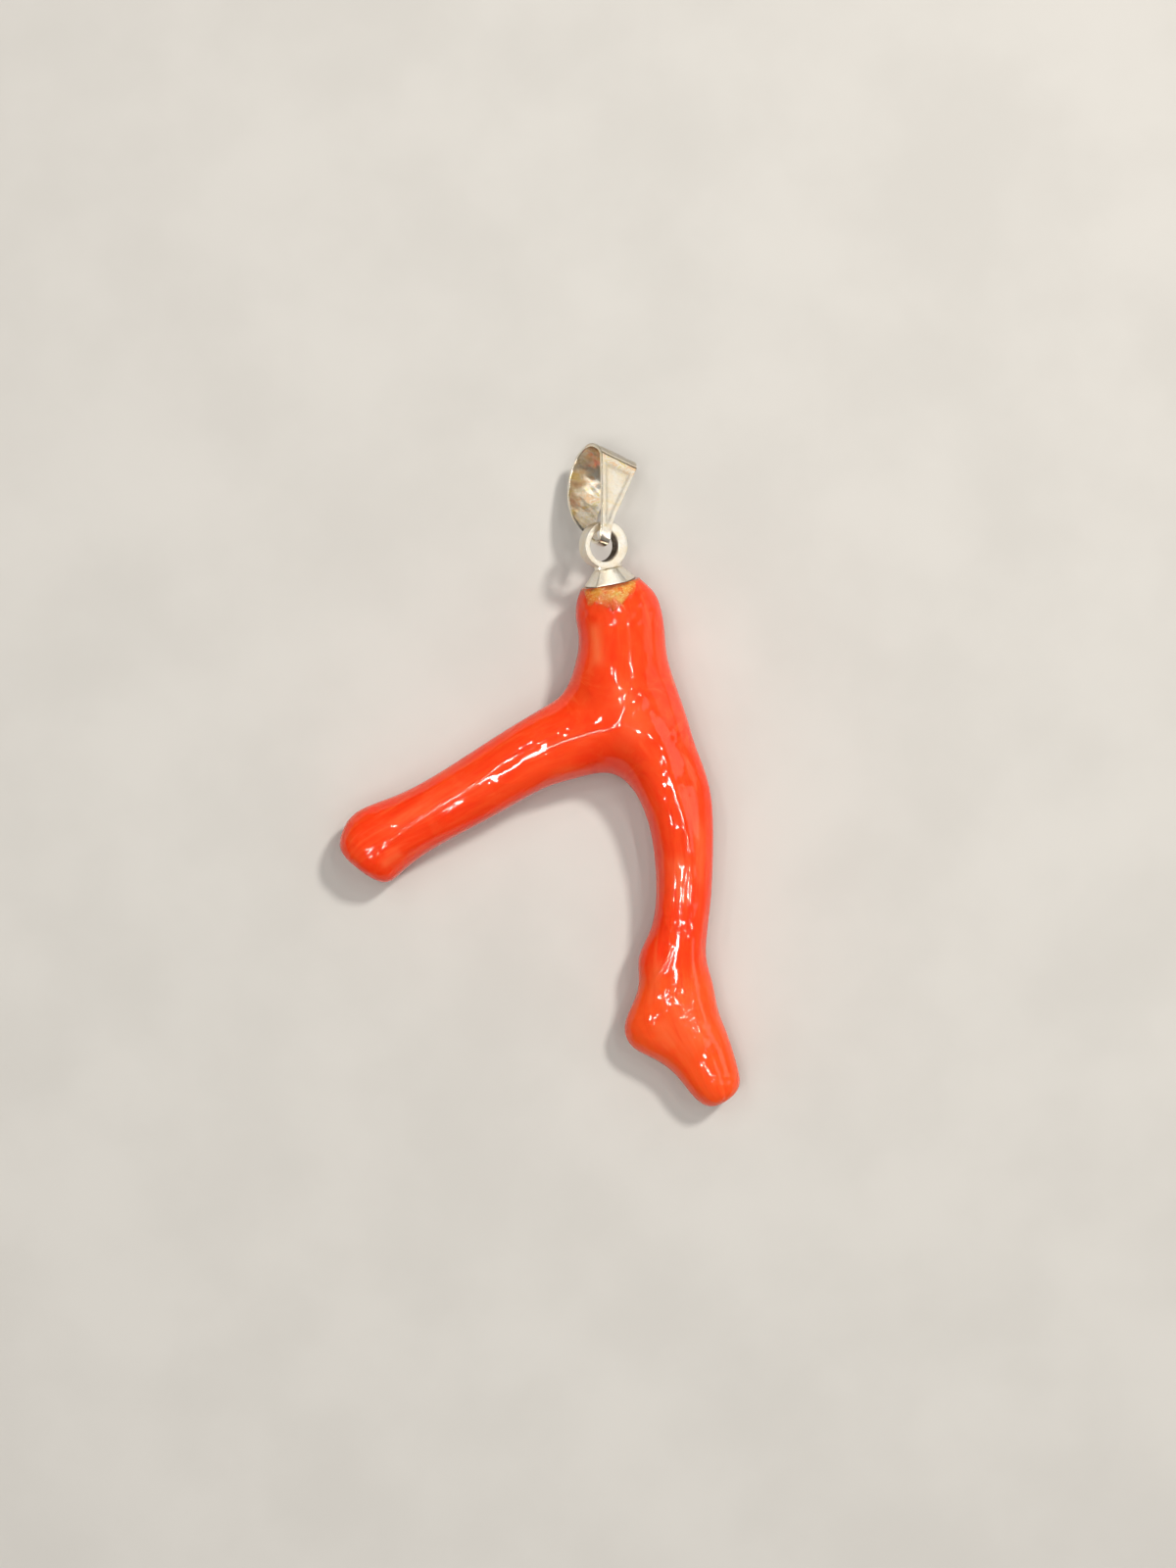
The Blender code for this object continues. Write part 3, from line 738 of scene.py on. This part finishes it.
def add_cone(material):
    """The cap's cone: an outline of (radius, height) carried round its axis. The outside is filed into
    soft facets: its radius is drawn in by a share of 1 - cos of the angle off each facet's middle."""
    corners = (
        (CAP_TOP_RADIUS, CAP_HEIGHT), (CAP_RIM_RADIUS, 0.1), (CAP_RIM_RADIUS, 0),
        (CAP_RIM_RADIUS - CAP_WALL, 0), (CAP_TOP_RADIUS - CAP_WALL, CAP_HEIGHT - CAP_WALL),
    )
    outline = rounded_outline(corners, 0.045, 5)
    outline = np.vstack([[0.02, CAP_HEIGHT], outline, [0.02, CAP_HEIGHT - CAP_WALL]])
    angle = 2 * math.pi * np.arange(CONE_COLUMNS) / CONE_COLUMNS
    facet = 2 * math.pi / FACETS
    off = (angle + facet / 2) % facet - facet / 2
    filed = 1 - FILED_SHARE * (1 - math.cos(facet / 2) / np.cos(off))
    filed = filed / filed.max()
    radius = outline[:, 0:1] * np.where(outline[:, 0:1] > CAP_TOP_RADIUS * 0.9, filed[None], 1)
    height = np.broadcast_to(outline[:, 1:2], radius.shape)
    points = np.stack([radius * np.cos(angle), radius * np.sin(angle), height], -1)
    dents = ripples(np.random.default_rng(5), DENTS_IN_CONE, angle[None], height)
    points[..., :2] *= (1 + dents / 2.5)[..., None]
    flat, faces = capped(points, grid_faces(len(outline), len(angle)), len(angle))
    # Darker along the rim's edge, next to the coral.
    tarnish_and_painted_shade = 0.35 * smoothstep(0.16, 0.0, flat[:, 2])
    flat = placed(cap_frame(), flat)
    faces = outward(flat, faces)
    cone = add_piece("cap_cone", flat, faces, "pendant", material)
    add_attribute(cone.data, "tarnish_and_painted_shade", tarnish_and_painted_shade)
    return cone


def add_eye(material):
    """The eye: a rounded rectangle carried round the ring. Each point lies between the hole's circle
    and the rim's circle by its own share, and the hole's circle is moved to one side."""
    half = EYE_DEPTH / 2
    outline = rounded_outline(((0, -half), (1, -half), (1, half), (0, half)), 0.09, 6)
    rows = np.linspace(-0.8, 0.8, 9) * half
    outline = np.vstack([outline] + [np.column_stack([np.full(9, edge), rows]) for edge in (0.0, 1.0)])
    outline = outline[np.argsort(np.arctan2(outline[:, 1] / half, outline[:, 0] - 0.5))]
    around = 2 * math.pi * np.arange(RING_COLUMNS) / RING_COLUMNS
    ring = np.stack([np.cos(around), np.sin(around)], -1)
    hole = ring * EYE_HOLE_RADIUS + np.array([EYE_HOLE_SHIFT, 0])
    rim = ring * EYE_RADIUS
    share = outline[:, 0]
    flat = hole[:, None] + share[None, :, None] * (rim - hole)[:, None]
    uneven = ripples(np.random.default_rng(8), DENTS_IN_RING, around)[:, None]
    flat = flat * (1 - 0.5 * (uneven + 0.02) * share[None])[..., None]
    height = np.broadcast_to(outline[:, 1] * (1 - 0.012), flat.shape[:2])
    points = np.concatenate([flat, height[..., None]], -1).reshape(-1, 3)
    inside = np.broadcast_to(smoothstep(0.12, 0.0, share), flat.shape[:2]).reshape(-1)
    # Dark brown: tarnished silver and painted shade, darker deeper in the hole, on the back face and on the
    # outer wall.
    painted_shade = inside * smoothstep(half * 0.95, half * 0.3, points[:, 2])
    back = smoothstep(-half * 0.9, -half * 0.97, points[:, 2]) * 0.3
    wall = np.broadcast_to(smoothstep(0.9, 1.0, share), flat.shape[:2]).reshape(-1) * 0.22
    points = placed(eye_frame(), points)
    faces = outward(points, loop_faces(RING_COLUMNS, len(outline)).tolist())
    eye = add_piece("cap_eye", points, faces, "pendant", material)
    tarnish_and_painted_shade = np.maximum.reduce([painted_shade * 1.3, back, wall])
    add_attribute(eye.data, "tarnish_and_painted_shade", np.clip(tarnish_and_painted_shade, 0, 1))
    return eye


def add_foot(material):
    """The bar under the eye, a rounded block: x, y and z are the sine and cosine products of a sphere,
    each raised to a power of 0.3 with its sign kept."""
    rows = np.linspace(-math.pi / 2, math.pi / 2, FOOT_ROWS + 2)[1:-1]
    columns = 2 * math.pi * np.arange(FOOT_COLUMNS) / FOOT_COLUMNS
    v, u = np.meshgrid(rows, columns, indexing="ij")

    def eased(values):
        return np.sign(values) * np.abs(values) ** 0.3

    half = np.array([FOOT_WIDTH, FOOT_HEIGHT, FOOT_DEPTH]) / 2
    level = eased(np.cos(v))
    points = np.stack([level * eased(np.cos(u)), level * eased(np.sin(u)), eased(np.sin(v))], -1) * half
    flat, faces = capped(points, grid_faces(FOOT_ROWS, FOOT_COLUMNS), FOOT_COLUMNS)
    drop = CAP_HEIGHT + FOOT_HEIGHT / 2 - 0.05 - EYE_HEIGHT
    forward = EYE_DEPTH / 2 - FOOT_DEPTH / 2 - 0.03
    flat = placed(eye_frame() @ shift(0, drop, forward), flat)
    foot = add_piece("cap_foot", flat, outward(flat, faces), "pendant", material)
    add_attribute(foot.data, "tarnish_and_painted_shade", np.zeros(len(flat)))
    return foot


# The bail.

# Points round the folded band, seen from its side, from the hinge: how far out to the front, how far
# up, and how far it reaches to the left and to the right. The first is the fold over its front.
BAIL_PATH = np.array([
    (1.40, 6.55, 2.28, 1.95), (1.40, 4.40, 1.68, 1.55), (1.40, 2.20, 1.10, 1.00), (1.40, 0.40, 0.68, 0.58),
    (1.42, -0.80, 0.45, 0.66), (1.20, -1.70, 0.15, 0.90), (0.20, -1.80, -0.15, 0.95),
    (-0.85, -1.30, -0.20, 1.05), (-1.70, -0.35, 0.45, 1.10), (-2.75, 0.85, 1.25, 1.25),
    (-3.50, 2.30, 1.75, 1.55), (-3.75, 4.10, 2.15, 1.95), (-3.35, 6.00, 2.50, 2.30),
    (-2.15, 7.40, 2.60, 2.40), (-0.60, 7.95, 2.60, 2.35), (0.75, 7.40, 2.50, 2.20),
])
BAIL_THICKNESS = 0.35
HINGE_ROUND = math.radians(-5)
BAIL_TURN = math.radians(31)
BAIL_SWAY = math.radians(18.6)
BAIL_PITCH = math.radians(8)
BAIL_STEPS = 26
PANEL_DEPTH = 0.02
BORDER_WIDTH = 0.56
DENTS_IN_SHEET = ((0.018, 2.1, 1.3), (0.014, -3.2, 1.9), (0.010, 4.3, 2.6), (0.008, 6.0, -3.4))


def bail_frame():
    """The bail's frame, on the hinge in the eye's wire: X out of its front face, Y up from its neck."""
    radius = (EYE_RADIUS + EYE_HOLE_RADIUS) / 2
    hinge = placed(eye_frame(), np.array([radius * math.sin(HINGE_ROUND), radius * math.cos(HINGE_ROUND), 0]))
    front = np.array([math.sin(BAIL_TURN), 0, math.cos(BAIL_TURN)])
    return axes_at(hinge, front, (0, 1, 0)) @ turn(0, -BAIL_SWAY) @ turn(2, BAIL_PITCH)


def sheet_profile(half):
    """The sheet's outline across the band: flat rows over it and under it, and rounded edges. The
    first value is the share of the half width and the second the height."""
    outline = rounded_outline(((-1, -half), (1, -half), (1, half), (-1, half)), 0.05, 4)
    across = np.linspace(-0.94, 0.94, 34)
    under = np.stack([across, np.full(len(across), -half)], -1)
    over = np.stack([across[::-1], np.full(len(across), half)], -1)
    right_end = outline[outline[:, 0] > 0.94]
    left_end = outline[outline[:, 0] < -0.94]
    right_end = right_end[np.argsort(right_end[:, 1])]
    left_end = left_end[np.argsort(-left_end[:, 1])]
    return np.vstack([under, right_end, over, left_end])


def add_bail(material):
    """The bail: a flat outline, wide and thin, carried round the closed path of the band. The path is a
    B-spline with its first point counted three times, which makes the sharp fold. A raised border runs
    along both edges of the front plate, and the sheet is slightly dented."""
    rows = np.vstack([BAIL_PATH[:1], BAIL_PATH[:1], BAIL_PATH])
    curve = b_spline(rows, BAIL_STEPS, closed=True)
    step = np.linalg.norm(np.roll(curve[:, :2], -1, 0) - curve[:, :2], axis=1)
    curve = curve[step > 1e-4]
    out, up, left, right = curve.T
    path = np.stack([out, up], -1)
    tangent = unit(np.roll(path, -1, 0) - np.roll(path, 1, 0))
    normal = np.stack([-tangent[:, 1], tangent[:, 0]], -1)
    half = BAIL_THICKNESS / 2
    profile = sheet_profile(half)
    share, height = profile.T

    width = (left + right) / 2
    middle = (left - right) / 2
    cross = middle[:, None] - share[None] * width[:, None]
    height = np.broadcast_to(height[None], cross.shape)
    run = np.concatenate([[0], np.cumsum(np.linalg.norm(np.diff(path, axis=0), axis=1))])
    total = run[-1] + np.linalg.norm(path[0] - path[-1])
    dents = ripples(np.random.default_rng(21), DENTS_IN_SHEET, run[:, None], cross)
    dents = dents * smoothstep(0.0, 0.6, run)[:, None] * smoothstep(total, total - 0.6, run)[:, None]
    front = (smoothstep(0.9, 1.2, out) * smoothstep(-0.6, 0.2, up))[:, None]
    edge_gap = np.minimum(cross + right[:, None], left[:, None] - cross)
    top_gap = run[:, None]
    top_border = smoothstep(0.85, 0.40, top_gap) * smoothstep(0.03, 0.10, top_gap)
    border = np.maximum(smoothstep(0.60, 0.28, edge_gap), top_border)
    outer = smoothstep(-half * 0.9, half * 0.9, height)
    inner = 1 - outer
    offset = height + dents * (1 - 0.75 * front) - PANEL_DEPTH * outer * front * (1 - border)
    across = path[:, None] + normal[:, None] * offset[..., None]
    points = placed(bail_frame(), np.concatenate([across, cross[..., None]], -1).reshape(-1, 3))
    faces = outward(points, loop_faces(len(path), len(profile)).tolist())
    bail = add_piece("bail_band", points, faces, "bail", material)

    # Dark brown: a little tarnished silver on the band's inside, and painted shade, darker towards the bottom
    # of the loop, a painted dark line along the fold's crease, and beside the plate's border and below its
    # top border. The face folded over the top is greyed as a painted reflection.
    low = smoothstep(4.0, -1.0, up)[:, None]
    folded_over = (smoothstep(6.3, 6.8, up) * smoothstep(1.36, 1.2, out))[:, None]
    crease = np.exp(-(((top_gap - 0.02) / 0.05) ** 2))
    beside_border = np.exp(-(((edge_gap - BORDER_WIDTH) / 0.12) ** 2)) * smoothstep(0.5, 0.9, top_gap)
    below_border = np.exp(-(((top_gap - 0.95) / 0.25) ** 2)) * smoothstep(0.4, 0.7, edge_gap)
    painted_border_shade = 0.22 * outer * front * np.maximum(beside_border, below_border)
    tarnish_and_shade = np.maximum(inner * (0.05 + 0.3 * low), outer * np.maximum(0.5 * folded_over, 0.9 * crease))
    tarnish_and_shade = np.maximum(tarnish_and_shade, painted_border_shade)
    # Painted warm reflection: yellow and peach on the band's inside and along the top of the front plate.
    warm_tone_and_reflection = np.maximum(0.7 * inner, 0.8 * outer * front * smoothstep(1.6, 0.2, top_gap))
    add_attribute(bail.data, "tarnish_and_painted_shade", tarnish_and_shade.reshape(-1))
    add_attribute(bail.data, "warm_tone_and_reflection", warm_tone_and_reflection.reshape(-1))
    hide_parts("bail")
    return bail


# The glue.

GLUE_ROWS = 44
GLUE_COLUMNS = 180
GLUE_INSIDE_RIM = 2.2
GLUE_REACH_BEHIND = 0.35
GLUE_REACH_IN_FRONT = 2.1
GLUE_FALL = 0.62
GLUE_THICKNESS = 0.05
GLUE_LIFT = 0.02
# How far the edge wanders, and how often round the cap.
GLUE_WAVES = ((0.20, 3), (0.18, 7), (0.10, 12), (0.04, 19))
# How strong the painted shade is round the cap, and how often it changes.
SHADE_WAVES = ((0.25, 5), (0.2, 9))


def add_glue(material, coral):
    """The glue film: a patch round the cap's rim, in polar places about the cap's axis, from inside the
    rim to a wavy edge that reaches furthest at the front. It is laid on the coral and given a thickness
    that runs out towards the edge."""
    rng = np.random.default_rng(3)
    angle = 2 * math.pi * np.arange(GLUE_COLUMNS) / GLUE_COLUMNS
    share = np.linspace(0, 1, GLUE_ROWS)
    toward = np.cos(angle + math.radians(8))
    wander = ripples(rng, GLUE_WAVES, angle) * (0.4 + smoothstep(0.3, 0.9, toward))
    reach = GLUE_REACH_BEHIND + GLUE_REACH_IN_FRONT * smoothstep(0.45, 1.0, toward) + wander
    radius = GLUE_INSIDE_RIM + share[:, None] * (0.35 + np.maximum(reach, 0.15))[None]
    drop = -0.05 - GLUE_FALL * np.maximum(radius - 2.5, 0)
    points = np.stack([radius * np.cos(angle), radius * np.sin(angle), drop], -1)
    flat = placed(cap_frame(), points.reshape(-1, 3))
    faces = grid_faces(len(share), len(angle))
    glue = add_piece("glue_film", flat, faces.tolist(), "pendant", material)
    edge = smoothstep(0.45, 1.0, share)[:, None] * np.ones_like(radius)
    add_attribute(glue.data, "thin", edge.reshape(-1))
    # Painted shade close under the cap's rim, patchy round it.
    painted_cap_shade = smoothstep(3.0, 2.62, radius) * (0.75 + ripples(rng, SHADE_WAVES, angle))
    add_attribute(glue.data, "painted_cap_shade", np.clip(painted_cap_shade, 0, 1).reshape(-1))
    thick = glue.vertex_groups.new(name="thick")
    for row, weight in enumerate(1 - smoothstep(0.5, 1.0, share)):
        thick.add(list(range(row * len(angle), (row + 1) * len(angle))), float(weight), "REPLACE")
    wrap = glue.modifiers.new("lie_on_coral", "SHRINKWRAP")
    wrap.target = coral
    wrap.wrap_method = "NEAREST_SURFACEPOINT"
    wrap.wrap_mode = "ABOVE_SURFACE"
    wrap.offset = GLUE_LIFT * MM
    sheet = glue.modifiers.new("film", "SOLIDIFY")
    sheet.thickness = GLUE_THICKNESS * MM
    sheet.offset = 1
    sheet.vertex_group = thick.name
    sheet.thickness_vertex_group = 0.1
    return glue


# The room.

CAMERA_X, CAMERA_Y, CAMERA_Z = 4.5, -0.8, 224.0
FOCAL_PIXELS = 2310.0
IMAGE_HEIGHT = 1600
FILM = 36.0
TABLE_REACH = 1.5
TABLE_HEIGHT = -2e-5


def add_floor():
    """The table: a plain pale square, just under the pendant."""
    material, tree, shader, place = start_material("pale_table")
    cloud = between(tree, noise(tree, place, 60.0, 4), 0.3, 0.7)
    colour = mixed(tree, cloud, (0.58, 0.57, 0.55, 1), (0.62, 0.61, 0.59, 1))
    tree.links.new(colour, shader.inputs["Base Color"])
    shader.inputs["Roughness"].default_value = 0.85
    mesh = bpy.data.meshes.new("table")
    signs = ((-1, -1), (1, -1), (1, 1), (-1, 1))
    corners = [(x * TABLE_REACH, y * TABLE_REACH, TABLE_HEIGHT) for x, y in signs]
    mesh.from_pydata(corners, [], [(0, 1, 2, 3)])
    mesh.materials.append(material)
    table = bpy.data.objects.new("table", mesh)
    bpy.context.scene.collection.objects.link(table)


# Lamps: their places and sizes in metres, their power in watts, their colour.
WARM_WHITE = (1.0, 0.95, 0.88)
SOFT_WHITE = (1.0, 0.97, 0.92)
CORAL_AIM = (0.004, 0.0, 0.004)
SILVER_AIM = (0.006, 0.024, 0.005)
LAMP_HEIGHT = 0.50
# White cards that are mirrored and give no diffuse light: one each for the bail's plate, the eye and the
# cone.
CARDS = (
    ("plate_card", (0.446, 0.194, 0.165), 0.18, 0.22, 0.095, (1.0, 0.95, 0.86)),
    ("eye_card", (0.41, -0.01, 0.32), 0.22, 0.22, 0.24, SOFT_WHITE),
    ("cone_card", (-0.064, 0.45, 0.26), 0.24, 0.20, 0.36, (1.0, 0.97, 0.90)),
)
# Small lamps that the polish mirrors as dots and thin streaks: their places over the table.
SPOT_SIZE, SPOT_POWER = 0.022, 0.13
SPOTS = (
    (-0.30, -0.12), (-0.16, -0.135), (-0.03, -0.14), (0.09, -0.15), (0.22, -0.15),
    (-0.27, 0.15), (-0.15, 0.13), (-0.21, 0.30), (-0.046, 0.057), (0.186, 0.062), (0.16, 0.19),
)
WORLD_STRENGTH = 0.34


def add_lamp(name, place, target, width, depth, power, colour, along=(1, 0, 0)):
    """A rectangular lamp that faces a target, with its width along a direction."""
    lamp = bpy.data.lights.new(name, "AREA")
    lamp.shape = "RECTANGLE"
    lamp.size, lamp.size_y = width, depth
    lamp.energy = power
    lamp.color = colour
    lamp_object = bpy.data.objects.new(name, lamp)
    z = unit(np.array(place) - np.array(target))
    x = unit(np.cross(np.cross(z, along), z))
    lamp_object.matrix_world = Matrix(axes_at(place, x, np.cross(z, x)).tolist())
    lamp_object.visible_camera = False
    bpy.context.scene.collection.objects.link(lamp_object)
    return lamp_object


def add_world():
    """The room's own light: grey, brighter overhead and warmest to the right."""
    world = bpy.data.worlds.new("room")
    bpy.context.scene.world = world
    world.use_nodes = True
    tree = world.node_tree
    background = tree.nodes["Background"]
    direction = new_node(tree, "ShaderNodeTexCoord").outputs["Generated"]
    parts = new_node(tree, "ShaderNodeSeparateXYZ", {0: direction})
    overhead = between(tree, parts.outputs["Z"], -0.1, 0.9)
    colour = mixed(tree, overhead, (0.16, 0.145, 0.13, 1), (0.56, 0.54, 0.51, 1))
    to_right = between(tree, parts.outputs["X"], 0.15, 0.85)
    colour = mixed(tree, to_right, colour, (0.75, 0.70, 0.62, 1))
    tree.links.new(colour, background.inputs["Color"])
    background.inputs["Strength"].default_value = WORLD_STRENGTH


def add_lights():
    """The key lamp casts the soft shadow and isn't mirrored. The cards and the fork's strip are
    mirrored and cast no light."""
    key = add_lamp("key", (0.24, 0.24, 0.40), CORAL_AIM, 0.06, 0.06, 1.75, WARM_WHITE)
    key.visible_glossy = False
    for name, place, width, depth, power, colour in CARDS:
        add_lamp(name, place, SILVER_AIM, width, depth, power, colour).visible_diffuse = False
    for number, (x, y) in enumerate(SPOTS):
        place = (x, y, LAMP_HEIGHT)
        add_lamp(f"spot_{number}", place, CORAL_AIM, SPOT_SIZE, SPOT_SIZE, SPOT_POWER, SOFT_WHITE)
    arm_place, along_arm = (-0.10, -0.06, LAMP_HEIGHT), (0.87, 0.49, 0)
    add_lamp("arm_strip", arm_place, CORAL_AIM, 0.13, 0.012, 0.25, SOFT_WHITE, along_arm)
    fork_place, along_fork = (-0.035, -0.015, LAMP_HEIGHT), (0.38, 0.92, 0)
    fork_strip = add_lamp("fork_strip", fork_place, CORAL_AIM, 0.14, 0.045, 0.8, SOFT_WHITE, along_fork)
    fork_strip.visible_diffuse = False


def add_camera():
    """The photograph's camera: straight above, looking down."""
    camera = bpy.data.cameras.new("camera")
    camera.sensor_width = FILM
    camera.lens = FOCAL_PIXELS / IMAGE_HEIGHT * FILM
    camera.clip_start, camera.clip_end = 0.01, 10
    camera_object = bpy.data.objects.new("camera", camera)
    camera_object.location = (CAMERA_X * MM, CAMERA_Y * MM, CAMERA_Z * MM)
    bpy.context.scene.collection.objects.link(camera_object)
    bpy.context.scene.camera = camera_object


def main():
    coral = add_coral(polished_coral())
    cast_silver = silver("cast_silver", warm=0.12, cast=0.7, wear=0.5, rough=0.34)
    sheet_silver = silver("sheet_silver", warm=0.25, cast=0.15, wear=0.6, rough=0.20)
    cone = add_cone(cast_silver)
    add_eye(cast_silver)
    add_foot(cast_silver)
    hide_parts("cap")
    add_bail(sheet_silver)
    add_glue(dried_glue(), coral)
    add_floor()
    add_world()
    add_lights()
    add_camera()
    bpy.context.scene.view_settings.view_transform = "Standard"
    bpy.context.scene.view_settings.look = "None"


main()
